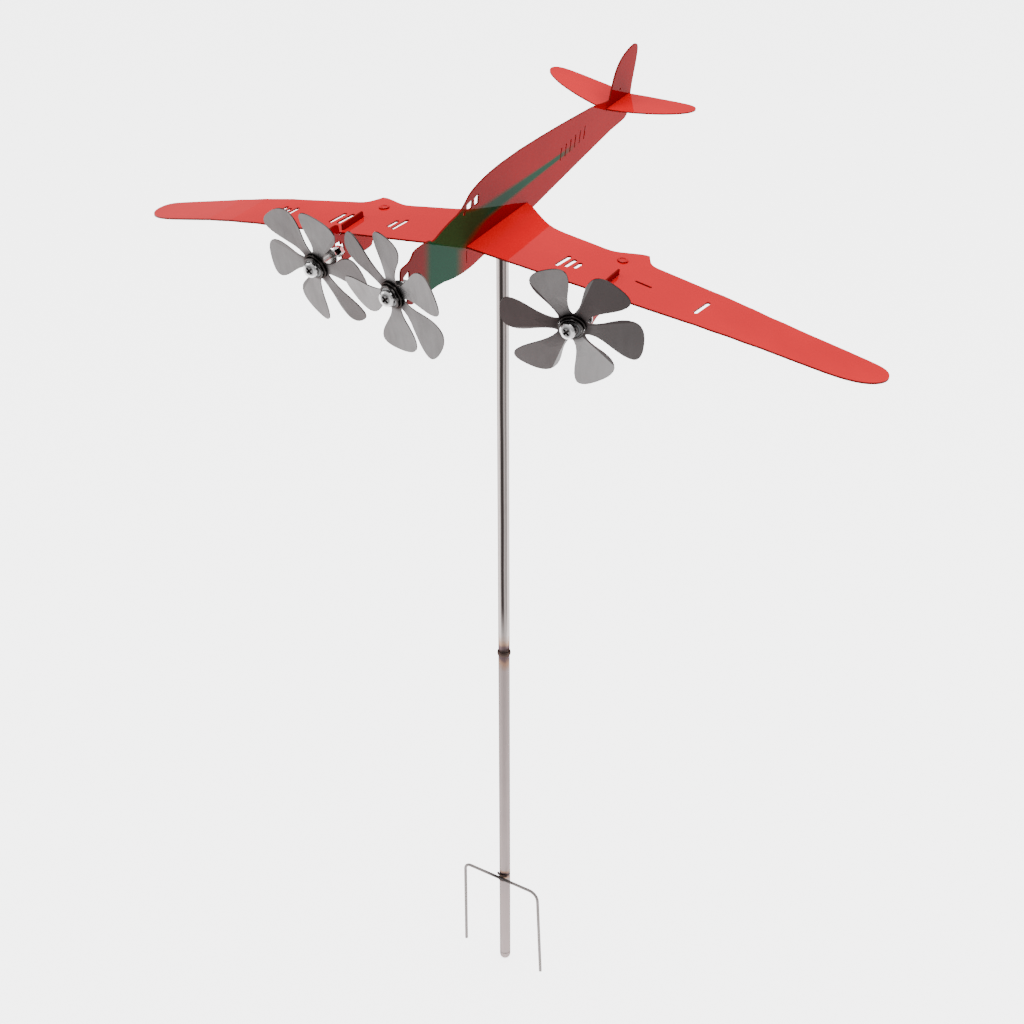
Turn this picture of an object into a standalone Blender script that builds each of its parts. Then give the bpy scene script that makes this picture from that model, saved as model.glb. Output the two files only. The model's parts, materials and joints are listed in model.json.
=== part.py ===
# Whirligig: a three-propeller sheet-metal aeroplane that turns on a garden stake.
#
# Frame: +Z up, nose towards -Y, port wing towards +X. The origin is on the stake's
# axis at the height of the fork's crossbar, which is the soil line.
# Every length is in metres.

import math
import bpy
import bmesh
from mathutils import Matrix, Vector
from mathutils.geometry import delaunay_2d_cdt

# ---------------------------------------------------------------- dimensions
GAP = 0.0003              # gap that touching pieces keep

# stake
POLE_R = 0.0050           # 10 mm tube
POLE_BORE_R = 0.0036
POLE_TIP_Z = -0.094
POLE_PLUG_Z = -0.087
POLE_JOINT_Z = 0.252
POLE_TOP_Z = 0.632

# fork wire
WIRE_R = 0.0014
FORK_LEFT = 0.0401
FORK_RIGHT = 0.0445
FORK_SPLAY = 0.0036
FORK_Z = 0.0046
FORK_LEG_Z = -0.0858
FORK_BEND_LEFT = 0.0060
FORK_BEND_RIGHT = 0.0090
FORK_TURN = math.radians(-7.0)

# aeroplane
PLANE_Z = 0.6552          # wing root above the soil line
PLANE_ROLL = math.radians(1.5)
SHEET = 0.0015            # fuselage, wing and nacelle plates
TAIL_SHEET = 0.0012
NACELLE_X = 0.1115        # where the wing holds the nacelle plate
NACELLE_LEAN = 0.14       # the plate stands square to the drooping wing
BOLT_X = 0.1096
TAIL_Z = 0.0322
TAIL_DIHEDRAL = 0.129
TAIL_ROLL = math.radians(5.6)

# wing droop below the root, at stations along the half span
DROOP = ((0.0, 0.0), (0.103, 0.0107), (0.190, 0.0200), (0.215, 0.0242),
         (0.240, 0.0303), (0.282, 0.0427), (0.326, 0.0556))

# rotors: bearing centre in the aeroplane's frame, tilt (pitch, yaw) that the loose
# bearing takes on its bolt, phase of the first petal, and the way the petals sweep
ROTORS = {
    "nose": dict(hub=(0.0, -0.1738, 0.0053), tilt=(16.0, -20.5), phase=25.5, hand=1,
                 nut=0.0170, washer=0.0108, spacer=0.0105, end=0.0235),
    "port": dict(hub=(BOLT_X, -0.1009, -0.0248), tilt=(16.5, 14.5), phase=-4.5, hand=1,
                 nut=0.0325, washer=0.0204, spacer=0.0201, end=0.0395),
    "starboard": dict(hub=(-BOLT_X, -0.1009, -0.0248), tilt=(19.0, -14.0), phase=5.5,
                      hand=-1, nut=0.0325, washer=0.0204, spacer=0.0201, end=0.0395),
}
PETALS = 6
PETAL_TIP_R = 0.0544
PETAL_ROOT_R = 0.0135
PETAL_WIDE_R = 0.0450
PETAL_NECK = 0.0052       # half widths
PETAL_WIDE = 0.0163
PETAL_SWEEP = 0.0058
PETAL_TWIST = math.radians(8.0)
PETAL_SHEET = 0.0010
PETAL_PLANE = 0.0020      # propeller sheet behind the bearing's centre

BEARING_W = 0.0050        # thin-section bearing, 19 mm outside
BEARING_BORE_R = 0.0043
BEARING_OUT_R = 0.0095
RACE_IN_R = 0.0056
RACE_OUT_R = 0.0079
HUB_BORE_R = 0.0098
HUB_R = 0.0110

BOLT_R = 0.00225          # M5, with a wide truss head
HEAD_R = 0.0065
HEAD_SEAT = 0.0061        # head's underside ahead of the bearing's centre
HEAD_H = 0.0033
NUT_FLATS = 0.0080
NUT_H = 0.0040

# ---------------------------------------------------------------- clean start
for old in list(bpy.data.objects):
    bpy.data.objects.remove(old, do_unlink=True)


# ---------------------------------------------------------------- materials
def material(name, colour, rough, metal):
    mat = bpy.data.materials.new(name)
    mat.use_nodes = True
    bsdf = mat.node_tree.nodes["Principled BSDF"]
    bsdf.inputs["Base Color"].default_value = (*colour, 1.0)
    bsdf.inputs["Roughness"].default_value = rough
    bsdf.inputs["Metallic"].default_value = metal
    return mat


RED = material("red_paint", (0.62, 0.03, 0.025), 0.18, 0.0)
STEEL = material("brushed_stainless", (0.50, 0.48, 0.47), 0.35, 1.0)
TUBE = material("stainless_tube", (0.56, 0.53, 0.51), 0.28, 1.0)
CHROME = material("bright_screw", (0.75, 0.75, 0.76), 0.08, 1.0)
RACE = material("bearing_steel", (0.45, 0.44, 0.43), 0.20, 1.0)
SEAL = material("bearing_seal", (0.02, 0.02, 0.02), 0.55, 0.0)
WELD = material("weld_bead", (0.10, 0.08, 0.07), 0.45, 1.0)
NYLON = material("nylon", (0.75, 0.74, 0.70), 0.40, 0.0)


# ---------------------------------------------------------------- placing
def empty(name, location, rotation=(0.0, 0.0, 0.0), parent=None):
    obj = bpy.data.objects.new(name, None)
    bpy.context.scene.collection.objects.link(obj)
    obj.location = location
    obj.rotation_euler = rotation
    obj.parent = parent
    return obj


def add_mesh(name, bm, mat, parent=None, smooth_angle=35.0):
    bmesh.ops.recalc_face_normals(bm, faces=bm.faces)
    mesh = bpy.data.meshes.new(name)
    bm.to_mesh(mesh)
    bm.free()
    mesh.materials.append(mat)
    mesh.shade_smooth()
    mesh.set_sharp_from_angle(angle=math.radians(smooth_angle))
    obj = bpy.data.objects.new(name, mesh)
    bpy.context.scene.collection.objects.link(obj)
    obj.parent = parent
    return obj


def cut(target, cutter, name):
    cutter.hide_render = True
    cutter.display_type = "WIRE"
    mod = target.modifiers.new(name, "BOOLEAN")
    mod.operation = "DIFFERENCE"
    mod.solver = "EXACT"
    mod.object = cutter


# ---------------------------------------------------------------- turned pieces
def turned(name, profile, mat, segments=24, axis="Y", parent=None, location=(0, 0, 0)):
    """Revolve (radius, height) points, a closed section or one that ends on the axis."""
    bm = bmesh.new()
    on_axis = profile[0][0] == 0.0 and profile[-1][0] == 0.0
    rings = []
    for radius, height in profile:
        if radius == 0.0:
            rings.append([bm.verts.new((0.0, 0.0, height))])
            continue
        ring = []
        for i in range(segments):
            a = 2.0 * math.pi * i / segments
            ring.append(bm.verts.new((radius * math.cos(a), radius * math.sin(a), height)))
        rings.append(ring)
    pairs = list(zip(rings, rings[1:]))
    if not on_axis:
        pairs.append((rings[-1], rings[0]))
    for low, high in pairs:
        for i in range(segments):
            j = (i + 1) % segments
            if len(low) == 1:
                bm.faces.new((low[0], high[j], high[i]))
            elif len(high) == 1:
                bm.faces.new((low[i], low[j], high[0]))
            else:
                bm.faces.new((low[i], low[j], high[j], high[i]))
    if axis == "Y":
        bmesh.ops.rotate(bm, verts=bm.verts, matrix=Matrix.Rotation(-math.pi / 2, 3, "X"))
    obj = add_mesh(name, bm, mat, parent)
    obj.location = location
    return obj


def tube_profile(inner, outer, low, high, chamfer=0.0):
    c = chamfer
    if c == 0.0:
        return [(outer, low), (outer, high), (inner, high), (inner, low)]
    return [(outer - c, low), (outer, low + c), (outer, high - c), (outer - c, high),
            (inner, high), (inner, low)]


# ---------------------------------------------------------------- sheet pieces
def inside(point, loop):
    hit = False
    x, y = point
    for (x1, y1), (x2, y2) in zip(loop, loop[1:] + loop[:1]):
        if (y1 > y) != (y2 > y) and x < x1 + (y - y1) * (x2 - x1) / (y2 - y1):
            hit = not hit
    return hit


def sheet(name, outer, holes, thickness, mat, place, rulings=(), extra=(), parent=None):
    """Cut a flat outline with holes, then bend it: place(u, v, w) gives the 3-D point."""
    points = []
    edges = []
    for loop in [outer] + list(holes):
        start = len(points)
        points.extend(Vector(p) for p in loop)
        edges.extend((start + i, start + (i + 1) % len(loop)) for i in range(len(loop)))
    for a, b in rulings:
        points.extend((Vector(a), Vector(b)))
        edges.append((len(points) - 2, len(points) - 1))
    points.extend(Vector(p) for p in extra)
    verts, _, tris, _, _, _ = delaunay_2d_cdt(points, edges, [], 0, 1e-7)
    kept = []
    for tri in tris:
        c = sum((verts[i] for i in tri), Vector((0.0, 0.0))) / 3.0
        if inside(c, outer) and not any(inside(c, h) for h in holes):
            kept.append(tuple(tri))
    bm = bmesh.new()
    used = sorted({i for tri in kept for i in tri})
    top = {i: bm.verts.new(place(verts[i].x, verts[i].y, thickness / 2)) for i in used}
    low = {i: bm.verts.new(place(verts[i].x, verts[i].y, -thickness / 2)) for i in used}
    count = {}
    for tri in kept:
        bm.faces.new([top[i] for i in tri])
        bm.faces.new([low[i] for i in reversed(tri)])
        for a, b in zip(tri, tri[1:] + tri[:1]):
            key = (min(a, b), max(a, b))
            count.setdefault(key, []).append((a, b))
    for uses in count.values():
        if len(uses) == 1:
            a, b = uses[0]
            bm.faces.new((top[b], top[a], low[a], low[b]))
    return add_mesh(name, bm, mat, parent, 30.0)


def circle(cx, cy, r, n=12):
    return [(cx + r * math.cos(2 * math.pi * i / n), cy + r * math.sin(2 * math.pi * i / n))
            for i in range(n)]


def slot(cx, cy, length, width, angle=0.0, n=5):
    """A round-ended slot, its length along the first axis before it is turned."""
    half = length / 2 - width / 2
    loop = []
    for side in (1, -1):
        for i in range(n + 1):
            a = -math.pi / 2 + math.pi * i / n
            x = side * (half + width / 2 * math.cos(a))
            y = side * width / 2 * math.sin(a)
            loop.append((x, y))
    c, s = math.cos(angle), math.sin(angle)
    return [(cx + x * c - y * s, cy + x * s + y * c) for x, y in loop]


def mm(points):
    return [(a * 0.001, b * 0.001) for a, b in points]


def soften(loop, rounds=1, sharp=55.0):
    """Cut the corners of an outline, but leave corners sharper than the limit."""
    for _ in range(rounds):
        new = []
        n = len(loop)
        for i in range(n):
            p0, p1, p2 = Vector(loop[i - 1]), Vector(loop[i]), Vector(loop[(i + 1) % n])
            turn = math.degrees((p1 - p0).angle(p2 - p1, 0.0))
            if turn > sharp or turn < 4.0:
                new.append(tuple(p1))
            else:
                new.append(tuple(p1.lerp(p0, 0.25)))
                new.append(tuple(p1.lerp(p2, 0.25)))
        loop = new
    return loop


plane = empty("plane_frame", (0.0, 0.0, PLANE_Z), (0.0, PLANE_ROLL, 0.0))

# ---------------------------------------------------------------- fuselage plate
# outline in (Y, Z) from the top of the nose, over the back, round the fin and tail,
# and home along the belly
NOSE = [(-161.2, 8.6), (-161.4, 18.2), (-159.4, 20.6), (-149, 21), (-145, 23.6),
        (-141.2, 27.4), (-129, 27.6), (-117.4, 27.1), (-115.6, 24.8)]
BACK = [(-110, 24.4), (-101, 27.2), (-85.5, 30.2), (-71, 32), (-62, 37), (-54, 42.3),
        (-38, 46), (-22, 47.9), (-5, 49), (28, 49.4), (64, 48.3), (100, 46.7), (138, 44.4),
        (166, 42.6), (188, 38.4)]
FIN = [(195, 38.5), (198, 46), (201.5, 54), (206.5, 61), (213, 66.5), (221, 70.3), (231, 73),
       (240, 74.2), (245.5, 73.6), (248.3, 70.5), (248, 65.5), (245.6, 57), (242.3, 48.6),
       (239.3, 40.5), (237.2, 32), (236.2, 25), (234.5, 18), (230, 13)]
BELLY = [(222, 11.8), (199, 10.6), (144, 4), (93, -2.3), (60, -6.5), (25, -11), (0, -13.6),
         (-18, -15.6), (-34, -17.2), (-52, -19), (-68, -19), (-84, -17.2), (-100, -14),
         (-125, -13.4), (-143.5, -14), (-148.5, -12.4), (-151.4, -9.2), (-150.4, -6.8)]
MOUTH = [(-137, -6.8), (-137, 8.6), (-148.4, 8.6), (-148.6, 14), (-149.8, 15.3),
         (-157.4, 12.6), (-158.2, 8.6)]
fuselage_outline = soften(mm(NOSE + BACK + FIN + BELLY + MOUTH), 1)

fuselage_holes = [
    # wing slot with its relief slit, and tailplane slot
    mm([(-61.6, -1.1), (42.2, -1.1), (42.2, 1.1), (-61.6, 1.1)]),
    mm([(-61.0, -12.5), (-59.8, -12.5), (-59.8, -2.6), (-61.0, -2.6)]),
    mm([(186.6, 31.0), (234.9, 31.0), (234.9, 33.4), (186.6, 33.4)]),
    # cockpit windows
    mm([(-48.6, 29.2), (-42.0, 29.6), (-41.4, 37.2), (-43.4, 37.4), (-49.0, 35.4)]),
    mm([(-60.8, 29.8), (-52.6, 29.4), (-51.4, 34.8), (-53.4, 36.0), (-60.8, 34.6)]),
    mm([(-66.8, 28.6), (-63.2, 26.8), (-62.8, 31.2), (-65.6, 30.8)]),
    # hole at the foot of the fin, and the two cross pins of the swivel
    circle(0.215, 0.042, 0.0012, 8),
    circle(0.0, -0.0105, 0.0013, 10),
    circle(0.0, -0.0060, 0.0013, 10),
]
for i in range(6):
    fuselage_holes.append(slot(0.1015 + 0.0088 * i, 0.0212 + 0.0009 * i, 0.0112, 0.0017,
                               math.radians(78), 3))

sheet("fuselage_plate", fuselage_outline, fuselage_holes, SHEET, RED,
      lambda u, v, w: (w, u, v), parent=plane)


# ---------------------------------------------------------------- wing plate
def droop(x):
    x = abs(x)
    for (x0, d0), (x1, d1) in zip(DROOP, DROOP[1:]):
        if x <= x1:
            return d0 + (d1 - d0) * (x - x0) / (x1 - x0)
    return DROOP[-1][1]


LEADING = [(0, -60.4), (60, -60.8), (150, -61.4), (196, -60.8), (222, -57.4), (246, -51.6),
           (270, -45.2), (291, -39.4), (304, -33.8), (313.5, -27), (319.8, -19.6),
           (323.4, -12), (324.2, -5.2), (322.4, 0.6), (317.6, 4.2), (309, 4.2)]
TRAILING = [(284, 0.6), (253, -4.4), (222, -7.6), (181, -3.6), (140, 2.8), (129.4, 4.4),
            (124.8, 7.4), (121.4, 13.2), (118.4, 19.2), (113.4, 18.6), (103.5, 13.4),
            (96, 9.4), (89, 7.8), (73, 9.6), (58, 11), (45, 12.4), (35.5, 15.2),
            (26.5, 21.2), (17, 29.2), (9, 36.4), (3, 40.4), (0, 41)]
half = soften(mm(LEADING + TRAILING), 1, 70.0)
half = [p for p in half if p[0] > 1e-5]
port_half = [(0.0, -0.0604)] + half + [(0.0, 0.041)]
wing_outline = port_half + [(-x, y) for x, y in reversed(half)]

wing_holes = []
for side in (1, -1):
    wing_holes.append([(side * x, y) for x, y in
                       mm([(110.2, -56.6), (112.8, -56.6), (112.8, -24.6), (110.2, -24.6)])])
    wing_holes.append(circle(side * 0.105, -0.0025, 0.0018, 10))
# plain vents: groups of round-ended slots lying fore and aft, slightly slanted
for x, y, length in ((0.0690, -0.0325, 0.0215), (0.0752, -0.0325, 0.0165),
                     (0.0814, -0.0325, 0.0115), (0.1843, -0.0335, 0.0235),
                     (-0.0735, -0.0325, 0.0225), (-0.0800, -0.0325, 0.0150),
                     (-0.1225, -0.0330, 0.0225), (-0.1300, -0.0330, 0.0225),
                     (-0.1748, -0.0330, 0.0235), (-0.1800, -0.0330, 0.0175),
                     (-0.1852, -0.0330, 0.0235)):
    wing_holes.append(slot(x, y, length, 0.0034, math.radians(84), 4))
wing_holes.append(slot(0.134, -0.028, 0.0150, 0.0024, math.radians(-8), 4))

wing_rulings = [((side * x, -0.09), (side * x, 0.07))
                for side in (1, -1) for x in (0.103, 0.190, 0.215, 0.240, 0.282)]
wing_rulings.append(((0.0, -0.09), (0.0, 0.07)))
sheet("wing_plate", wing_outline, wing_holes, SHEET, RED,
      lambda u, v, w: (u, v, w - droop(u)), rulings=wing_rulings, parent=plane)

for side, word in ((1, "port"), (-1, "starboard")):
    # domed rivet in each wing, behind the nacelle slot
    seat = SHEET / 2 + GAP
    foot = -SHEET / 2 - GAP
    rivet = turned("wing_rivet_" + word,
                   [(0.0, seat + 0.0009), (0.0020, seat + 0.0008), (0.0024, seat + 0.0013),
                    (0.0034, seat + 0.0012), (0.0042, seat + 0.0006), (0.0043, seat),
                    (0.0014, seat), (0.0014, foot), (0.0026, foot), (0.0024, foot - 0.0010),
                    (0.0, foot - 0.0013)][::-1], RED, 20, "Z", plane)
    rivet.location = (side * 0.105, -0.0025, -droop(0.105))
    rivet.rotation_euler = (0.0, side * math.atan(0.107), 0.0)

# ---------------------------------------------------------------- tailplane
TAIL_HALF = [(18, 233.2), (46, 231), (58, 229.4), (64.4, 226.6), (67.8, 221.8), (68, 216),
             (64.4, 209.4), (56, 202.6), (45, 196.6), (28, 191), (14, 188.4)]
tail_half = soften(mm(TAIL_HALF), 1, 70.0)
tail_outline = ([(0.0, 0.2338)] + tail_half + [(0.0, 0.1877)]
                + [(-x, y) for x, y in reversed(tail_half)])
tail = empty("tail_frame", (0.0, 0.0, TAIL_Z), (0.0, TAIL_ROLL, 0.0), plane)
sheet("tailplane_plate", tail_outline, [], TAIL_SHEET, RED,
      lambda u, v, w: (u, v, w + TAIL_DIHEDRAL * abs(u)),
      rulings=[((0.0, 0.15), (0.0, 0.26))], parent=tail)

# ---------------------------------------------------------------- nacelle plates
NACELLE = [(-84.6, -7.4), (-80.5, -4.0), (-66, -3.6), (-62.4, -5.0), (-61.9, -13.2),
           (-56.1, -13.2), (-56.1, -6.6), (-25.1, -6.6), (-25.1, -13.2), (-4, -13.2),
           (-7, -20), (-13, -28), (-16, -33.5), (-19, -37), (-28, -37.6), (-44, -36),
           (-54, -34.8), (-59, -37.6), (-66.5, -39.6), (-74, -37.4), (-78.4, -34.2),
           (-78.2, -30.2), (-70.2, -30.2), (-70.2, -32.2), (-62.6, -32.2), (-62.6, -29.0),
           (-58.4, -29.0), (-58.4, -20.6), (-62.6, -20.6), (-62.6, -17.4), (-70.2, -17.4),
           (-70.2, -19.4), (-74.6, -19.4)]
for side, word in ((1, "port"), (-1, "starboard")):
    sheet("nacelle_plate_" + word, soften(mm(NACELLE), 1, 40.0), [], SHEET, RED,
          lambda u, v, w, s=side: (s * (NACELLE_X + NACELLE_LEAN * (v + 0.0117)) + w, u, v),
          parent=plane)


# ---------------------------------------------------------------- rotors
def petal_half_width(r):
    if r <= PETAL_WIDE_R:
        t = (r - PETAL_ROOT_R) / (PETAL_WIDE_R - PETAL_ROOT_R)
        return PETAL_NECK + (PETAL_WIDE - PETAL_NECK) * t * t * (3 - 2 * t)
    t = (r - PETAL_WIDE_R) / (PETAL_TIP_R - PETAL_WIDE_R)
    return PETAL_WIDE * max(0.0, 1.0 - t ** 2.5) ** 0.4


def petal_point(r, s, angle, hand):
    s += hand * -PETAL_SWEEP * ((r - PETAL_ROOT_R) / (PETAL_TIP_R - PETAL_ROOT_R)) ** 2
    c, d = math.cos(angle), math.sin(angle)
    return (r * c - s * d, r * d + s * c)


def propeller_outline(hand):
    body = [PETAL_ROOT_R + (PETAL_WIDE_R - PETAL_ROOT_R) * i / 7 for i in range(8)]
    loop = []
    for k in range(PETALS):
        mid = 2 * math.pi * k / PETALS
        for r in body:
            loop.append(petal_point(r, -petal_half_width(r), mid, hand))
        for i in range(1, 12):
            a = math.pi * i / 12
            reach = PETAL_TIP_R - PETAL_WIDE_R
            r = PETAL_WIDE_R + reach * math.sin(a) ** 0.8
            s = -math.copysign(abs(math.cos(a)) ** 0.8, math.cos(a)) * PETAL_WIDE
            loop.append(petal_point(r, s, mid, hand))
        for r in reversed(body):
            loop.append(petal_point(r, petal_half_width(r), mid, hand))
        # round end of the slit before the next petal
        edge = math.asin(PETAL_NECK / PETAL_ROOT_R)
        a0 = mid + edge
        a1 = mid + 2 * math.pi / PETALS - edge
        for t in (0.2, 0.5, 0.8):
            a = a0 + (a1 - a0) * t
            r = PETAL_ROOT_R - 0.0014 * math.sin(math.pi * t)
            loop.append((r * math.cos(a), r * math.sin(a)))
    return loop


def propeller_place(hand):
    def place(u, v, w):
        r = math.hypot(u, v)
        angle = math.atan2(v, u)
        step = 2 * math.pi / PETALS
        mid = round(angle / step) * step
        c, d = math.cos(mid), math.sin(mid)
        along = u * c + v * d
        across = -u * d + v * c
        t = min(1.0, max(0.0, (r - 0.0132) / 0.018))
        twist = hand * PETAL_TWIST * t * t * (3 - 2 * t)
        side = across * math.cos(twist) - w * math.sin(twist)
        depth = across * math.sin(twist) + w * math.cos(twist)
        return (along * c - side * d, depth + PETAL_PLANE, along * d + side * c)
    return place


def propeller_extra(hand):
    points = []
    for k in range(PETALS):
        mid = 2 * math.pi * k / PETALS
        for r in (0.0175, 0.0225, 0.0285, 0.036, 0.0445):
            for f in (-0.5, 0.0, 0.5):
                points.append(petal_point(r, f * petal_half_width(r), mid, hand))
    return points


def cross_cutter(name, parent):
    arm, wide, deep = 0.0033, 0.0008, 0.0021
    bm = bmesh.new()
    rings = []
    for y, k in ((-HEAD_SEAT - HEAD_H - 0.001, 1.1), (-HEAD_SEAT - HEAD_H + deep, 0.62)):
        ring = []
        for q in range(4):
            a = math.pi / 4 + q * math.pi / 2
            for u, v in ((arm * k, -wide), (arm * k, wide), (wide, wide)):
                x = u * math.cos(a) - v * math.sin(a)
                z = u * math.sin(a) + v * math.cos(a)
                ring.append(bm.verts.new((x, y, z)))
        rings.append(ring)
    n = len(rings[0])
    bm.faces.new(rings[0])
    bm.faces.new(list(reversed(rings[1])))
    for i in range(n):
        j = (i + 1) % n
        bm.faces.new((rings[0][i], rings[0][j], rings[1][j], rings[1][i]))
    return add_mesh(name, bm, CHROME, parent)


def ball_cage(name, parent):
    """Ring of seven balls in their cage, swelling and thinning round the ring."""
    major = (RACE_IN_R + RACE_OUT_R) / 2
    steps = 42
    sides = 6
    bm = bmesh.new()
    rings = []
    for i in range(steps):
        a = 2 * math.pi * i / steps
        fat = 0.00045 + 0.00037 * (0.5 + 0.5 * math.cos(7 * a)) ** 0.7
        ring = []
        for j in range(sides):
            b = 2 * math.pi * j / sides
            r = major + fat * math.cos(b)
            ring.append(bm.verts.new((r * math.cos(a), 1.6 * fat * math.sin(b),
                                      r * math.sin(a))))
        rings.append(ring)
    for i in range(steps):
        for j in range(sides):
            k, m = (i + 1) % steps, (j + 1) % sides
            bm.faces.new((rings[i][j], rings[k][j], rings[k][m], rings[i][m]))
    return add_mesh(name, bm, RACE, parent, 60.0)


def washer(name, parent, at, inner, outer, thick, mat=CHROME):
    return turned(name, tube_profile(inner, outer, at, at + thick), mat, 24, "Y", parent)


for word, spec in ROTORS.items():
    hub = empty("hub_" + word, spec["hub"], (0, 0, 0), plane)
    pitch, yaw = spec["tilt"]
    spin = empty("spin_" + word, spec["hub"], (math.radians(pitch), 0.0, math.radians(yaw)),
                 plane)

    # pieces that spin with the propeller
    hand = spec["hand"]
    blades = sheet("propeller_" + word, propeller_outline(hand),
                   [circle(0.0, 0.0, 0.0105, 24)], PETAL_SHEET, STEEL,
                   propeller_place(hand), extra=propeller_extra(hand), parent=spin)
    blades.rotation_euler = (0.0, -math.radians(spec["phase"]), 0.0)
    low, step, end = -0.0006, PETAL_PLANE - PETAL_SHEET / 2 - GAP, 0.0032
    turned("hub_ring_" + word,
           [(HUB_R - 0.0004, low), (HUB_R, low + 0.0004), (HUB_R, step),
            (0.0102, step), (0.0102, end), (HUB_BORE_R, end), (HUB_BORE_R, low)],
           STEEL, 28, "Y", spin)
    w = BEARING_W / 2
    turned("outer_race_" + word,
           tube_profile(RACE_OUT_R, BEARING_OUT_R, -w, w, 0.0003), RACE, 28, "Y", spin)
    turned("inner_race_" + word,
           tube_profile(BEARING_BORE_R, RACE_IN_R, -w, w), RACE, 24, "Y", spin)
    for at, end_word in ((-w + 0.0002, "front"), (w - 0.0008, "rear")):
        turned("seal_" + end_word + "_" + word,
               tube_profile(RACE_IN_R + GAP, RACE_OUT_R - GAP, at, at + 0.0006), SEAL, 24,
               "Y", spin)
    ball_cage("ball_cage_" + word, spin)

    # pieces that stay with the aeroplane
    front = -HEAD_SEAT - HEAD_H
    bolt = turned("bolt_" + word,
                  [(0.0, front), (0.0030, front + 0.0002), (0.0048, front + 0.0007),
                   (0.0060, front + 0.0015), (HEAD_R, front + 0.0025),
                   (HEAD_R, -HEAD_SEAT), (BOLT_R, -HEAD_SEAT),
                   (BOLT_R, spec["end"] - 0.0006), (BOLT_R - 0.0006, spec["end"]),
                   (0.0, spec["end"])], CHROME, 24, "Y", hub)
    cut(bolt, cross_cutter("recess_" + word, hub), "recess")
    washer("washer_front_" + word, hub, -HEAD_SEAT + GAP, BOLT_R + GAP, 0.0048, 0.0007)
    turned("spacer_" + word,
           tube_profile(BOLT_R + GAP, 0.0042, 0.0059, spec["spacer"]), STEEL, 20, "Y",
           hub)
    washer("washer_rear_" + word, hub, spec["washer"], BOLT_R + GAP, 0.0072, 0.0010)
    hexagon = [(NUT_FLATS / math.sqrt(3) * math.cos(math.radians(60 * i)),
                NUT_FLATS / math.sqrt(3) * math.sin(math.radians(60 * i))) for i in range(6)]
    mid = spec["nut"] + NUT_H / 2
    sheet("nut_" + word, hexagon, [circle(0, 0, BOLT_R + GAP, 16)], NUT_H, CHROME,
          lambda u, v, w2, m=mid: (u, m + w2, v), parent=hub)

# ---------------------------------------------------------------- swivel
stub_top = 0.6515
stub = turned("pivot_stub",
              [(0.0, 0.6145), (0.0019, 0.6145), (0.0025, 0.6152), (0.0025, 0.6343),
               (0.0048, 0.6343), (0.0048, 0.6500), (0.0040, stub_top), (0.0, stub_top)],
              STEEL, 24, "Z")
fork_slot = bmesh.new()
bmesh.ops.create_cube(fork_slot, size=1.0)
bmesh.ops.scale(fork_slot, vec=(0.0028, 0.020, 0.020), verts=fork_slot.verts)
bmesh.ops.translate(fork_slot, vec=(0, 0, 0.6411 + 0.010), verts=fork_slot.verts)
cut(stub, add_mesh("stub_slot", fork_slot, STEEL), "slot")
for z, word in ((PLANE_Z - 0.0105, "lower"), (PLANE_Z - 0.0060, "upper")):
    drill = bmesh.new()
    bmesh.ops.create_cone(drill, cap_ends=True, segments=12, radius1=0.0013, radius2=0.0013,
                          depth=0.02, matrix=Matrix.Rotation(math.pi / 2, 4, "Y"))
    hole = add_mesh("stub_hole_" + word, drill, STEEL)
    hole.location = (0, 0, z)
    cut(stub, hole, "hole_" + word)
    pin = bmesh.new()
    bmesh.ops.create_cone(pin, cap_ends=True, segments=12, radius1=0.0009, radius2=0.0009,
                          depth=0.0108, matrix=Matrix.Rotation(math.pi / 2, 4, "Y"))
    cross = add_mesh("cross_pin_" + word, pin, CHROME)
    cross.location = (0, 0, z)

turned("pivot_bush",
       [(POLE_BORE_R - GAP, 0.6100), (POLE_BORE_R - GAP, POLE_TOP_Z + GAP),
        (POLE_R, POLE_TOP_Z + GAP), (POLE_R, 0.6340), (0.00285, 0.6340), (0.00285, 0.6100)],
       NYLON, 24, "Z")

# ---------------------------------------------------------------- stake
turned("upper_pole", tube_profile(POLE_BORE_R, POLE_R, POLE_JOINT_Z + 0.0007, POLE_TOP_Z,
                                  0.0003), TUBE, 28, "Z")
turned("lower_pole", tube_profile(POLE_BORE_R, POLE_R, POLE_PLUG_Z + GAP,
                                  POLE_JOINT_Z - 0.0007, 0.0003), TUBE, 28, "Z")
turned("joint_weld",
       [(POLE_BORE_R + GAP, POLE_JOINT_Z - 0.0004), (POLE_R + GAP, POLE_JOINT_Z - 0.0004),
        (POLE_R + GAP, POLE_JOINT_Z - 0.0022), (POLE_R + 0.0007, POLE_JOINT_Z - 0.0017),
        (POLE_R + 0.0010, POLE_JOINT_Z), (POLE_R + 0.0007, POLE_JOINT_Z + 0.0017),
        (POLE_R + GAP, POLE_JOINT_Z + 0.0022), (POLE_R + GAP, POLE_JOINT_Z + 0.0004),
        (POLE_BORE_R + GAP, POLE_JOINT_Z + 0.0004)], WELD, 28, "Z")
turned("coupling_rod",
       [(0.0, 0.222), (0.0028, 0.222), (0.0033, 0.2225), (0.0033, 0.2815), (0.0028, 0.282),
        (0.0, 0.282)], STEEL, 20, "Z")
turned("pole_tip",
       [(0.0, POLE_TIP_Z), (0.0026, POLE_TIP_Z), (0.0037, -0.0934), (0.0045, -0.0922),
        (0.0049, -0.0905), (POLE_R, -0.0888), (POLE_R, POLE_PLUG_Z), (0.0033, POLE_PLUG_Z),
        (0.0033, -0.0750), (0.0, -0.0750)], STEEL, 28, "Z")


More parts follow.
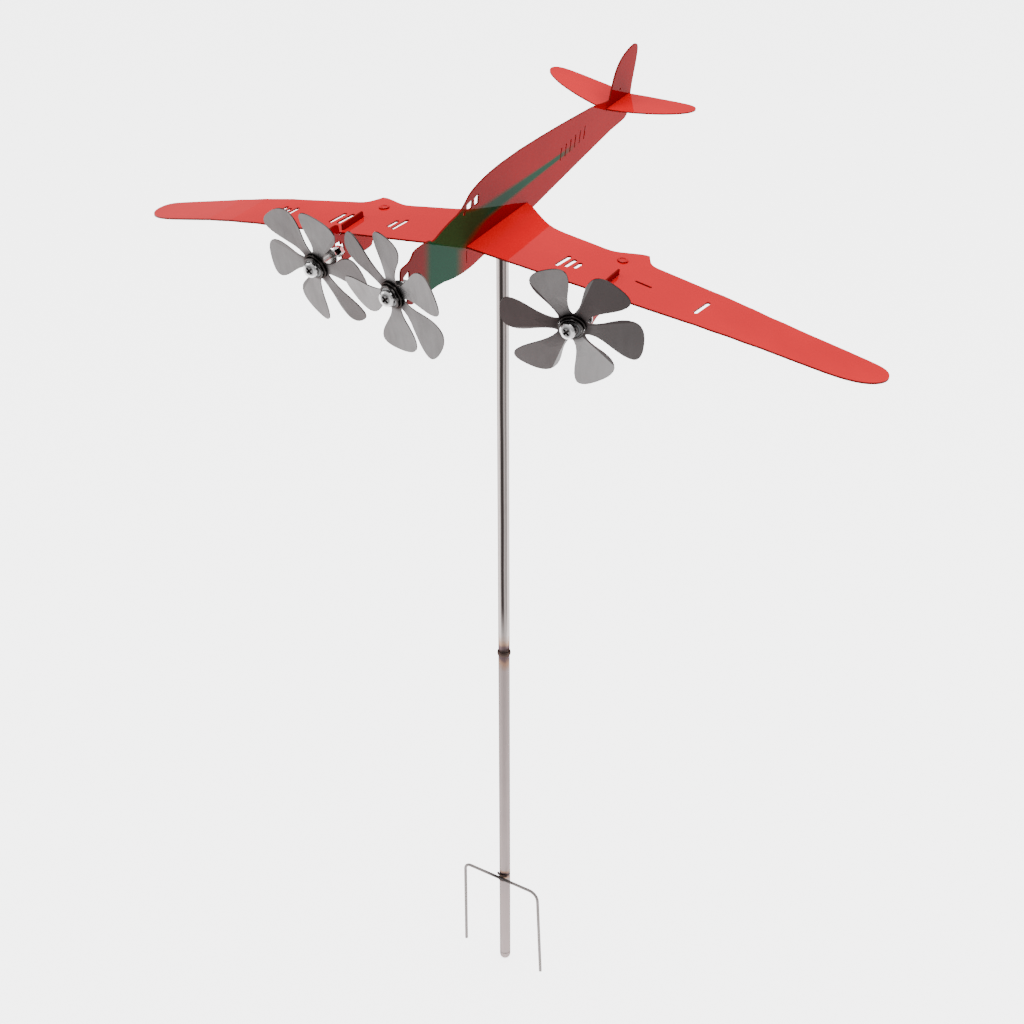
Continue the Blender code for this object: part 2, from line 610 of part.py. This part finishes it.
def wire(name, points, radius, mat, resolution=2):
    curve = bpy.data.curves.new(name, "CURVE")
    curve.dimensions = "3D"
    curve.bevel_depth = radius
    curve.bevel_resolution = resolution
    curve.use_fill_caps = True
    spline = curve.splines.new("POLY")
    spline.points.add(len(points) - 1)
    for point, co in zip(spline.points, points):
        point.co = (*co, 1.0)
    curve.materials.append(mat)
    obj = bpy.data.objects.new(name, curve)
    bpy.context.scene.collection.objects.link(obj)
    return obj


# fork: a wire bent twice and welded across the front of the lower pole
front = -(POLE_R + GAP + WIRE_R)
route = [(-FORK_LEFT, FORK_LEG_Z)]
for i in range(7):
    a = math.pi - math.pi / 2 * i / 6
    route.append((-FORK_LEFT + FORK_BEND_LEFT * (1 + math.cos(a)),
                  FORK_Z - FORK_BEND_LEFT * (1 - math.sin(a))))
for i in range(7):
    a = math.pi / 2 - math.pi / 2 * i / 6
    route.append((FORK_RIGHT - FORK_SPLAY - FORK_BEND_RIGHT * (1 - math.cos(a)),
                  FORK_Z - FORK_BEND_RIGHT * (1 - math.sin(a))))
route.append((FORK_RIGHT, FORK_LEG_Z))
fork = wire("fork_wire", [(x, front, z) for x, z in route], WIRE_R, TUBE, 3)
fork.rotation_euler = (0.0, 0.0, FORK_TURN)

# weld beads above and below the crossbar, hugging the pole
BEADS = {"upper": (FORK_Z + WIRE_R + GAP + 0.0013, 0.0010, 50),
         "lower": (FORK_Z - WIRE_R - GAP - 0.0010, 0.0007, 32)}
for word, (z, r, sweep) in BEADS.items():
    arc = []
    for i in range(11):
        a = math.radians(-90 + sweep * (i - 5) / 5)
        rr = POLE_R + GAP + r
        arc.append((rr * math.cos(a), rr * math.sin(a), z + 0.0003 * math.cos(i * 2.4)))
    bead = wire("fork_weld_" + word, arc, r, WELD, 2)
    bead.rotation_euler = (0.0, 0.0, FORK_TURN)
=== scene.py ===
# Garden whirligig: materials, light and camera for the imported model.
import json
import math

import bpy
from mathutils import Euler, Matrix, Vector


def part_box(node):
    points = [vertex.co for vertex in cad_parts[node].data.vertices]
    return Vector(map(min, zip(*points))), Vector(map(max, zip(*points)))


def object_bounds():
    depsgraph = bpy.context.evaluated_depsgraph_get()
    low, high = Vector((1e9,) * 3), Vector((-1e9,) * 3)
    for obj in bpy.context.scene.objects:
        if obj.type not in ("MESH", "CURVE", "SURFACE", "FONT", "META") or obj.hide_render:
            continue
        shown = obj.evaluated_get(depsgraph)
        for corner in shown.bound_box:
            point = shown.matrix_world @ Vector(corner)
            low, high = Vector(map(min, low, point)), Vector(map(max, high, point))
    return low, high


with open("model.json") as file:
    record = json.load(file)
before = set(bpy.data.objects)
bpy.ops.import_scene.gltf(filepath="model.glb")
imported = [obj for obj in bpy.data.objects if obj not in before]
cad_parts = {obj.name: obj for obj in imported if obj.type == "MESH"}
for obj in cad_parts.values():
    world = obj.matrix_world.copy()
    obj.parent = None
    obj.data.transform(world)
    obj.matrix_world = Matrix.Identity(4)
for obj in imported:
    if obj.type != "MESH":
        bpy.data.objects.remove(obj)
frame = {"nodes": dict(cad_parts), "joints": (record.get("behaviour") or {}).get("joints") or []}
nodes = frame["nodes"]
joints = {j["name"]: j for j in frame["joints"]}
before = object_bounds()

MM = 0.001
ROOT_Z = 0.6552           # height of the wing root
JOINT_Z = 0.2535          # height at which the two pole lengths meet
TUBE_R = 0.005            # radius of the pole
RIGHT = (0.890, 0.4555)   # level direction across the front of the pole


# ---------------------------------------------------------------- node helpers
class Graph:
    """A small writer for shader node trees."""

    def __init__(self, name):
        self.mat = bpy.data.materials.new(name)
        self.mat.use_nodes = True
        self.tree = self.mat.node_tree
        self.bsdf = self.tree.nodes["Principled BSDF"]

    def node(self, kind, **settings):
        made = self.tree.nodes.new(kind)
        for key, value in settings.items():
            setattr(made, key, value)
        return made

    def plug(self, socket, value):
        """Link a socket, or set a plain value; a colour is opaque."""
        if isinstance(value, bpy.types.NodeSocket):
            self.tree.links.new(value, socket)
        elif hasattr(value, "__len__") and len(value) == 3 and len(socket.default_value) == 4:
            socket.default_value = (*value, 1.0)
        else:
            socket.default_value = value

    def put(self, name, value):
        self.plug(self.bsdf.inputs[name], value)

    def math(self, op, a, b=0.0, clamp=False):
        made = self.node("ShaderNodeMath", operation=op, use_clamp=clamp)
        self.plug(made.inputs[0], a)
        self.plug(made.inputs[1], b)
        return made.outputs[0]

    def add(self, a, b):
        return self.math("ADD", a, b)

    def less(self, a, b):
        return self.math("SUBTRACT", a, b)

    def times(self, a, b):
        return self.math("MULTIPLY", a, b)

    def size_of(self, a):
        return self.math("ABSOLUTE", a)

    def hypot(self, a, b):
        return self.math("SQRT", self.add(self.times(a, a), self.times(b, b)))

    def vec(self, op, a, b):
        made = self.node("ShaderNodeVectorMath", operation=op)
        self.plug(made.inputs[0], a)
        self.plug(made.inputs[1], b)
        return made.outputs["Value" if op == "DOT_PRODUCT" else "Vector"]

    def place(self):
        return self.node("ShaderNodeTexCoord").outputs["Object"]

    def flat_normal(self):
        return self.node("ShaderNodeNewGeometry").outputs["True Normal"]

    def split(self, vector):
        made = self.node("ShaderNodeSeparateXYZ")
        self.plug(made.inputs[0], vector)
        return made.outputs

    def ramp(self, value, low, high, a=0.0, b=1.0):
        """Smooth change from a to b while the value goes from low to high."""
        made = self.node("ShaderNodeMapRange", interpolation_type="SMOOTHSTEP")
        for socket, item in zip(made.inputs, (value, low, high, a, b)):
            self.plug(socket, item)
        return made.outputs[0]

    def fade(self, value, span, a=0.0, b=1.0):
        """The same ramp over a span given in millimetres."""
        return self.ramp(value, span[0] * MM, span[1] * MM, a, b)

    def noise(self, vector, scale, detail=3.0, rough=0.5, stretch=None):
        if stretch:
            vector = self.vec("MULTIPLY", vector, stretch)
        made = self.node("ShaderNodeTexNoise")
        self.plug(made.inputs["Vector"], vector)
        made.inputs["Scale"].default_value = scale
        made.inputs["Detail"].default_value = detail
        made.inputs["Roughness"].default_value = rough
        return made.outputs["Fac"]

    def mix(self, fac, a, b):
        made = self.node("ShaderNodeMix", data_type="RGBA")
        self.plug(made.inputs[0], fac)
        self.plug(made.inputs[6], a)
        self.plug(made.inputs[7], b)
        return made.outputs[2]

    def bump(self, height, strength, distance, normal=None):
        made = self.node("ShaderNodeBump")
        made.inputs["Strength"].default_value = strength
        made.inputs["Distance"].default_value = distance
        self.plug(made.inputs["Height"], height)
        if normal is not None:
            self.plug(made.inputs["Normal"], normal)
        return made.outputs[0]

    def edges(self, radius):
        made = self.node("ShaderNodeBevel", samples=3)
        made.inputs["Radius"].default_value = radius
        return made.outputs[0]


def give(material, *names):
    for name in names:
        obj = nodes[name]
        obj.data.materials.clear()
        obj.data.materials.append(material)


def darker(colour, share):
    return tuple(c * share for c in colour)


# ---------------------------------------------------------------- glossy red paint
RED = (0.640, 0.0010, 0.0080)
EDGE = (0.150, 0.008, 0.007)
GLOOM = (0.05, 0.002, 0.001)
GREEN = (0.000, 0.038, 0.018)
OLIVE = (0.016, 0.034, 0.010)

# The airbrushed nose, in millimetres along the fuselage (minus is forward) and above the
# wing root. A pair is where a soft edge starts and where it ends.
NOSE_GLOOM = (-150, -60)
DRIFT = 5                       # how far the band's edges wander
BAND_FRONT = (-131, -115)
BAND_BACK = (-80, -56)
STRIPE_TAPER = (-50, 110)
STRIPE_HALF = (7.5, 2.6)        # half of its width, at each end of the taper
STRIPE_RISE, STRIPE_HEIGHT = 0.012, 18.6
STRIPE_START = (-70, -30)
STRIPE_END = (92, 140)
OLIVE_FRONT = (-119, -113)
OLIVE_BACK = (-42, 0)
# slanting borders of the olive: slope, height at y = 0, soft edge
OLIVE_BELOW = (-0.50, -33.5, (-1.6, 1.4))
OLIVE_AFT = (0.36, 24.0, (-7, 7))
OLIVE_ABOVE = (-0.24, 15.5, (-3, 3))


def airbrush(g, y, z, cloud, colour):
    """Darkened nose with a green band, a green stripe and an olive shade."""
    h = g.less(z, ROOT_Z)
    drift = g.times(g.less(cloud, 0.5), DRIFT * MM)
    yy = g.add(y, drift)

    def past_line(slope, height, span, a=0.0, b=1.0):
        line = g.add(g.times(y, slope), height * MM)
        return g.fade(g.less(h, line), span, a, b)

    colour = g.mix(g.fade(y, NOSE_GLOOM, 0.60, 0.0), colour, GLOOM)
    # green band round the nose
    band = g.times(g.fade(yy, BAND_FRONT), g.fade(yy, BAND_BACK, 1.0, 0.0))
    # stripe running aft from the band, tapering to the row of slots
    half = g.fade(y, STRIPE_TAPER, STRIPE_HALF[0] * MM, STRIPE_HALF[1] * MM)
    middle = g.add(g.times(y, STRIPE_RISE), STRIPE_HEIGHT * MM)
    off = g.size_of(g.less(h, middle))
    stripe = g.ramp(g.math("DIVIDE", off, half), 0.45, 1.25, 1.0, 0.0)
    stripe = g.times(stripe, g.fade(y, STRIPE_END, 1.0, 0.0))
    stripe = g.times(stripe, g.fade(y, STRIPE_START))
    green = g.math("MAXIMUM", band, stripe, clamp=True)
    colour = g.mix(g.times(green, 0.99), colour, GREEN)
    # olive shade from the band up to the cockpit
    lower = past_line(*OLIVE_BELOW)
    aft = past_line(*OLIVE_AFT)
    upper = past_line(*OLIVE_ABOVE, 1.0, 0.0)
    front = g.fade(y, OLIVE_FRONT)
    shade = g.times(g.times(lower, aft), g.times(upper, front))
    shade = g.math("MULTIPLY", shade, g.fade(y, OLIVE_BACK, 1.0, 0.0), clamp=True)
    return g.mix(g.times(shade, 0.985), colour, OLIVE)


def paint(name, thin_axis, painted_light=1.0, gloss=0.5, airbrushed=False):
    """Clear-coated red; thin_axis is the plate's normal, so its cut edge comes out dark. The
    share given darkens the red as painted shade.
    """
    g = Graph(name)
    place = g.place()
    x, y, z = g.split(place)
    cloud = g.noise(place, 9.0, 4.0)
    colour = g.mix(g.ramp(cloud, 0.35, 0.65), darker(RED, painted_light), darker(RED, painted_light * 0.86))
    if airbrushed:
        colour = airbrush(g, y, z, cloud, colour)
    # the cut edge is sooty and has little gloss
    normal = g.split(g.flat_normal())
    facing = g.size_of(normal["XYZ".index(thin_axis)])
    cut = g.ramp(facing, 0.35, 0.75, 1.0, 0.0)
    g.put("Base Color", g.mix(cut, colour, EDGE))
    g.put("Roughness", g.add(g.times(g.noise(place, 34.0), 0.16),
                             g.add(0.20, g.times(cut, 0.25))))
    g.put("Metallic", 0.0)
    g.put("Specular IOR Level", 0.0)
    g.put("Coat Weight", g.less(gloss, g.times(cut, gloss * 0.7)))
    g.put("Coat IOR", 1.45)
    g.put("Coat Roughness", 0.03)
    wave = g.bump(g.noise(place, 22.0, 2.0), 0.05, 0.4 * MM)
    g.put("Normal", g.bump(g.noise(place, 160.0, 2.0), 0.04, 0.05 * MM, wave))
    g.put("Coat Normal", g.bump(g.noise(place, 14.0, 1.0), 0.03, 0.5 * MM))
    return g.mat


# one red paint: the upright fuselage and nacelle plates, and a little the rivets, are darkened
# as painted shade
give(paint("whirligig_fuselage_paint", "X", 0.350, 0.11, airbrushed=True), "fuselage_plate")
give(paint("whirligig_wing_paint", "Z", 1.0, 0.54), "wing_plate", "tailplane_plate")
give(paint("whirligig_nacelle_paint", "X", 0.36, 0.14), "nacelle_plate_port",
     "nacelle_plate_starboard")
give(paint("whirligig_rivet_paint", "Z", 0.85), "wing_rivet_port", "wing_rivet_starboard")


# ---------------------------------------------------------------- petals
GRAZE = (0.40, 0.39, 0.39)      # how bright a metal gets at a grazing angle
PETALS = 6
FIRST = math.radians(100.0)     # the first painted tone of light and shade is for the petal nearest here; 90 is upward
SMUDGE = (0.030, 0.024, 0.023)
GROOVE = (0.035, 0.029, 0.027)
HUB_SHADE = (0.012, 0.010, 0.010)
SHEAR = (0.045, 0.035, 0.033)
HUB_SHADE_RING = (11.5, 17)           # painted shade round the hub, in millimetres from the hub's middle

# painted light and shade: how light each petal is, going round from the first one, standing in
# for how each twisted petal catches the light
PAINTED_PETAL_LIGHT = {
    "port": (0.105, 0.036, 0.084, 0.275, 0.088, 0.056),
    "starboard": (0.120, 0.105, 0.125, 0.170, 0.110, 0.104),
    "nose": (0.136, 0.108, 0.200, 0.135, 0.128, 0.150),
}


def axes_of(joint):
    """A joint's centre and axis, and two directions across the axis, sideways and up."""
    centre = Vector(joint["pos_m"])
    along = Vector(joint["axis"]).normalized()
    side = along.cross(Vector((0.0, 0.0, 1.0))).normalized()
    return centre, along, side, side.cross(along).normalized()


def first_tip(blades, centre, u, v):
    """Angle of the petal tip that stands nearest to FIRST."""
    arms = [point.co - centre for point in blades.data.vertices]
    reach = max(arm.length for arm in arms)
    tips = [math.atan2(arm.dot(v), arm.dot(u)) for arm in arms if arm.length > reach * 0.998]
    return min(tips, key=lambda tip: abs(tip - FIRST))


def wheel(g, turn, petal_light):
    """One flat tone of painted light and shade for each equal part of a turn; a darker one is
    less grey and more red.
    """
    ramp = g.node("ShaderNodeValToRGB")
    ramp.color_ramp.interpolation = "CONSTANT"
    points = ramp.color_ramp.elements
    while len(points) < len(petal_light):
        points.new(0.5)
    for i, painted_light in enumerate(petal_light):
        points[i].position = i / len(petal_light)
        warm = 0.74 + 0.22 * min(painted_light / 0.12, 1.0)
        points[i].color = (painted_light, painted_light * warm, painted_light * warm, 1.0)
    g.plug(ramp.inputs[0], turn)
    return ramp.outputs[0]


def petals(name, joint, petal_light, blades):
    """Brushed stainless sheet; each petal gets its own flat tone of painted light and shade,
    standing in for how its twist catches the light.
    """
    g = Graph(name)
    place = g.place()
    centre, along, u, v = axes_of(joint)
    local = g.vec("SUBTRACT", place, tuple(centre))
    a = g.vec("DOT_PRODUCT", local, tuple(u))
    b = g.vec("DOT_PRODUCT", local, tuple(v))
    # turn the sectors so that each one is centred on a petal
    turn = g.math("DIVIDE", g.math("ARCTAN2", b, a), 2 * math.pi)
    shift = 2.0 + 0.5 / PETALS - first_tip(blades, centre, u, v) / (2 * math.pi)
    # painted light and shade: one flat tone for each petal
    base = wheel(g, g.math("FRACT", g.add(turn, shift)), petal_light)
    cloud = g.noise(place, 26.0, 4.0)
    grain = g.noise(place, 210.0, 3.0, 0.6, stretch=(1.0, 1.0, 0.07))
    colour = g.mix(g.ramp(cloud, 0.30, 0.75, 0.0, 0.45), base, g.mix(0.5, base, SMUDGE))
    colour = g.mix(g.times(grain, 0.22), colour, GROOVE)
    # painted shade on the plate round the hub, where the hub shades it
    colour = g.mix(g.fade(g.hypot(a, b), HUB_SHADE_RING, 0.55, 0.0), colour, HUB_SHADE)
    facing = g.size_of(g.vec("DOT_PRODUCT", g.flat_normal(), tuple(along)))
    edge = g.ramp(facing, 0.3, 0.7, 1.0, 0.0)
    g.put("Base Color", g.mix(g.times(edge, 0.7), colour, SHEAR))
    g.put("Metallic", 1.0)
    g.put("Specular Tint", GRAZE)
    g.put("Roughness", g.add(0.27, g.times(grain, 0.20)))
    dents = g.bump(g.noise(place, 30.0, 2.0), 0.10, 0.6 * MM)
    g.put("Normal", g.bump(grain, 0.10, 0.06 * MM, dents))
    return g.mat


# ---------------------------------------------------------------- bolts and bearings
BRIGHT = (0.70, 0.69, 0.69)
DULL = (0.42, 0.41, 0.41)
RIM_SHADE = (0.05, 0.045, 0.045)
DISH_SHADE = (0.075, 0.070, 0.070)
RECESS_SHADE = (0.018, 0.015, 0.015)


def metal(name, colour, rough, grain_stretch=(1.0, 1.0, 0.05), grain=0.25, scale=260.0,
          bump=0.08):
    """Bare metal with a grain and darker clouds."""
    g = Graph(name)
    place = g.place()
    lines = g.noise(place, scale, 3.0, 0.6, stretch=grain_stretch)
    cloud = g.noise(place, 40.0, 4.0)
    shade = darker(colour, 0.55)
    tint = g.mix(g.times(lines, grain), colour, shade)
    tint = g.mix(g.ramp(cloud, 0.45, 0.85, 0.0, 0.35), tint, shade)
    g.put("Base Color", tint)
    g.put("Metallic", 1.0)
    g.put("Specular Tint", GRAZE)
    g.put("Roughness", g.add(rough, g.times(cloud, rough * 0.6)))
    g.put("Normal", g.bump(lines, bump, 0.05 * MM, g.edges(0.25 * MM)))
    return g.mat


def screw(name, node):
    """Bright plated screw with painted shade: darker at the rim and in the middle, darkest in
    the recess.
    """
    g = Graph(name)
    place = g.place()
    low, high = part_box(node)
    cloud = g.noise(place, 60.0, 4.0)
    local = g.vec("SUBTRACT", place, ((low[0] + high[0]) / 2, low[1], (low[2] + high[2]) / 2))
    x, y, z = g.split(local)
    radius = g.hypot(x, z)
    # painted shade in the cross recess, below the head's front
    recess_shade = g.times(g.fade(y, (0.55, 1.0)), g.fade(radius, (3.6, 4.4), 1.0, 0.0))
    colour = g.mix(g.ramp(cloud, 0.35, 0.75, 0.0, 0.4), BRIGHT, DULL)
    # painted shade at the rim and round the recess
    colour = g.mix(g.fade(radius, (5.6, 6.5), 0.0, 0.85), colour, RIM_SHADE)
    colour = g.mix(g.fade(radius, (3.2, 4.3), 0.80, 0.0), colour, DISH_SHADE)
    g.put("Base Color", g.mix(recess_shade, colour, RECESS_SHADE))
    g.put("Metallic", 1.0)
    g.put("Specular Tint", GRAZE)
    g.put("Roughness", g.add(0.10, g.times(cloud, 0.08)))
    g.put("Normal", g.edges(0.25 * MM))
    return g.mat


def plastic(name, scale, dark, light, rough, rough_spread, strength):
    """Matt speckled plastic or rubber."""
    g = Graph(name)
    speck = g.noise(g.place(), scale, 3.0)
    g.put("Base Color", g.mix(speck, dark, light))
    g.put("Roughness", g.add(rough, g.times(speck, rough_spread)))
    g.put("Normal", g.bump(speck, strength, 0.05 * MM))
    return g.mat


steel = metal("whirligig_steel", (0.44, 0.42, 0.41), 0.24)
collar = metal("whirligig_collar", (0.034, 0.030, 0.029), 0.24)
race = metal("whirligig_race", (0.060, 0.056, 0.055), 0.16, grain=0.1)
chrome = metal("whirligig_chrome", (0.58, 0.57, 0.57), 0.08, grain=0.06, bump=0.02)
burnt = metal("whirligig_weld", (0.060, 0.042, 0.036), 0.34, (1, 1, 1), 0.5, 900.0, 0.6)
rubber = plastic("whirligig_seal", 500.0, (0.010, 0.010, 0.011), (0.028, 0.027, 0.026),
                 0.38, 0.25, 0.2)
nylon = plastic("whirligig_nylon", 300.0, (0.62, 0.60, 0.54), (0.72, 0.71, 0.66),
                0.32, 0.2, 0.1)

for word in ("nose", "port", "starboard"):
    joint = joints[word + "_spin"]
    blades = "propeller_" + word
    give(petals("whirligig_petals_" + word, joint, PAINTED_PETAL_LIGHT[word], nodes[blades]), blades)
    give(collar, "hub_ring_" + word)
    give(steel, "spacer_" + word)
    give(race, "outer_race_" + word, "inner_race_" + word, "ball_cage_" + word)
    give(rubber, "seal_front_" + word, "seal_rear_" + word)
    give(screw("whirligig_screw_" + word, "bolt_" + word), "bolt_" + word)
    give(collar, "washer_front_" + word)
    give(chrome, "washer_rear_" + word, "nut_" + word)

give(chrome, "cross_pin_lower", "cross_pin_upper")
give(steel, "pivot_stub", "coupling_rod")
give(nylon, "pivot_bush")

# ---------------------------------------------------------------- pole and fork
UPPER = (0.35, 0.31, 0.30)
LOWER = (0.245, 0.200, 0.195)
FORK = (0.200, 0.180, 0.176)
REFLECTED_DARK = (0.024, 0.019, 0.018)
SOOT = (0.014, 0.010, 0.009)
SCORCH = 18 * MM                # how far the fork's soot reaches to each side of the pole

# Dark bands of painted reflection down the front of the polished tube, in tube radii across the
# front: middle, width, and how dark.
REFLECTION_BANDS = ((-0.20, 0.42, 0.97), (0.46, 0.22, 0.60))

# Heat tint, outermost first: start and end as shares of the reach, strength, colour.
TINTS = (
    (0.5, 1.0, 0.75, (0.20, 0.10, 0.05)),
    (0.25, 0.55, 0.85, (0.055, 0.040, 0.050)),
    (0.08, 0.22, 0.92, (0.020, 0.014, 0.012)),
)
low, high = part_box("fork_weld_upper")
HEAT = ((JOINT_Z, 0.020), ((low[2] + high[2]) / 2, 0.0055))    # heights and reaches


def paint_reflection_bands(g, place, z, colour):
    """Painted reflection: dark bands down the front of the upper pole, fading out just above the
    joint.
    """
    local = g.vec("MULTIPLY", place, (1 / TUBE_R,) * 3)
    across = g.vec("DOT_PRODUCT", local, (*RIGHT, 0.0))
    front = g.ramp(g.vec("DOT_PRODUCT", local, (RIGHT[1], -RIGHT[0], 0.0)), -0.25, 0.15)
    across = g.add(across, g.times(g.less(g.noise(place, 7.0, 1.0), 0.5), 0.3))
    high = g.times(g.fade(z, (256, 305)), front)
    for middle, width, depth in REFLECTION_BANDS:
        off = g.size_of(g.less(across, middle))
        dark = g.times(g.ramp(off, width * 0.35, width, depth, 0.0), high)
        colour = g.mix(dark, colour, REFLECTED_DARK)
    return colour


def heated(g, place, z, height, reach, colour):
    """Tint round a weld: black next to it, then a dull purple, then brown."""
    ragged = g.times(g.less(g.noise(place, 90.0, 3.0), 0.5), reach * 0.7)
    off = g.add(g.size_of(g.less(z, height)), ragged)
    for start, end, strength, tint in TINTS:
        colour = g.mix(g.ramp(off, reach * start, reach * end, strength, 0.0), colour, tint)
    return colour


def tube(name, base, rough, rings=(), painted_reflections=False, scorch=0.0, metallic=1.0):
    """Drawn stainless tube or wire, with heat tint round its welds."""
    g = Graph(name)
    place = g.place()
    x, y, z = g.split(place)
    lines = g.noise(place, 420.0, 3.0, 0.6, stretch=(1.0, 1.0, 0.012))
    cloud = g.noise(place, 30.0, 4.0)
    colour = g.mix(g.times(lines, 0.35), base, darker(base, 0.55))
    colour = g.mix(g.ramp(cloud, 0.42, 0.8, 0.0, 0.3), colour, darker(base, 0.65))
    # painted reflection bands down the front of the tube
    if painted_reflections:
        colour = paint_reflection_bands(g, place, z, colour)
    for height, reach in rings:
        colour = heated(g, place, z, height, reach, colour)
    if scorch:
        near = g.ramp(g.size_of(x), scorch * 0.3, scorch, 0.85, 0.0)
        colour = g.mix(near, colour, SOOT)
    g.put("Base Color", colour)
    g.put("Metallic", metallic)
    g.put("Specular IOR Level", 0.25)
    g.put("Specular Tint", GRAZE)
    g.put("Roughness", g.add(rough, g.times(lines, 0.16)))
    g.put("Normal", g.bump(lines, 0.06, 0.04 * MM))
    return g.mat


give(tube("whirligig_tube_upper", UPPER, 0.22, HEAT, painted_reflections=True), "upper_pole")
give(tube("whirligig_tube_lower", LOWER, 0.42, HEAT, metallic=0.6), "lower_pole")
give(tube("whirligig_tube_tip", LOWER, 0.42, metallic=0.6), "pole_tip")
give(tube("whirligig_fork", FORK, 0.50, scorch=SCORCH, metallic=0.35), "fork_wire")
give(burnt, "joint_weld", "fork_weld_upper", "fork_weld_lower")

# ---------------------------------------------------------------- floor
HALF = 9.0                      # half the floor's side
DROP = 0.5 * MM                 # how far it lies below the model
DIM, GLOWING = (-0.55, 0.18), (-0.09, 3.6)    # distance behind the pole, strength

mesh = bpy.data.meshes.new("floor")
corners = [(-HALF, -HALF, 0), (HALF, -HALF, 0), (HALF, HALF, 0), (-HALF, HALF, 0)]
mesh.from_pydata(corners, [], [(0, 1, 2, 3)])
floor = bpy.data.objects.new("floor", mesh)
bpy.context.scene.collection.objects.link(floor)
floor.location = (0.0, 0.0, before[0][2] - DROP)
g = Graph("floor_white")
grain = g.noise(g.place(), 40.0, 3.0)
g.put("Base Color", g.mix(grain, (0.90, 0.90, 0.90), (0.93, 0.93, 0.93)))
g.put("Roughness", g.add(0.55, g.times(grain, 0.1)))
g.put("Specular IOR Level", 0.1)
g.put("Emission Color", (1.0, 1.0, 1.0))
# the floor glows behind the model, and the glow falls off in front of it
behind = g.vec("DOT_PRODUCT", g.place(), (-RIGHT[1], RIGHT[0], 0.0))
g.put("Emission Strength", g.ramp(behind, DIM[0], GLOWING[0], DIM[1], GLOWING[1]))
mesh.materials.append(g.mat)


# ---------------------------------------------------------------- light
def softbox(name, location, aim, size, power):
    data = bpy.data.lights.new(name, "AREA")
    data.shape = "RECTANGLE"
    data.size, data.size_y = size
    data.energy = power
    obj = bpy.data.objects.new(name, data)
    bpy.context.scene.collection.objects.link(obj)
    obj.location = location
    obj.rotation_euler = (Vector(aim) - Vector(location)).to_track_quat("-Z", "Y").to_euler()


softbox("top", (0.3, 0.4, 3.2), (0.0, 0.0, 0.4), (3.0, 3.0), 70.0)
softbox("left", (-2.4, -1.6, 1.8), (0.0, 0.0, 0.5), (1.2, 2.4), 26.0)
softbox("right", (2.8, -0.6, 1.6), (0.0, 0.0, 0.5), (1.0, 2.2), 14.0)

# white surroundings, brighter high up than near the horizon
LOW_SKY, HIGH_SKY = (0.25, 0.55), (0.80, 1.30)    # how far up, strength

world = bpy.data.worlds.new("studio")
bpy.context.scene.world = world
world.use_nodes = True
tree = world.node_tree
coord = tree.nodes.new("ShaderNodeTexCoord")
part = tree.nodes.new("ShaderNodeSeparateXYZ")
rise = tree.nodes.new("ShaderNodeMapRange")
rise.interpolation_type = "SMOOTHSTEP"
for socket, value in zip(rise.inputs[1:5], (LOW_SKY[0], HIGH_SKY[0], LOW_SKY[1], HIGH_SKY[1])):
    socket.default_value = value
tree.links.new(coord.outputs["Generated"], part.inputs[0])
tree.links.new(part.outputs["Z"], rise.inputs[0])
tree.links.new(rise.outputs[0], tree.nodes["Background"].inputs["Strength"])
tree.nodes["Background"].inputs["Color"].default_value = (1.0, 1.0, 1.0, 1.0)

# ---------------------------------------------------------------- camera
TILT, HEADING, ROLL = (math.radians(angle) for angle in (60.30, 27.10, -0.08))

lens = bpy.data.cameras.new("camera")
lens.lens = 76.0
lens.sensor_width = 36.0
lens.clip_start = 0.05
lens.shift_x = -0.0008
camera = bpy.data.objects.new("camera", lens)
bpy.context.scene.collection.objects.link(camera)
camera.location = (0.727, -1.4034, 1.2944)
level = Euler((TILT, 0.0, HEADING)).to_matrix()
camera.rotation_euler = (level @ Matrix.Rotation(ROLL, 3, "Z")).to_euler()
bpy.context.scene.camera = camera
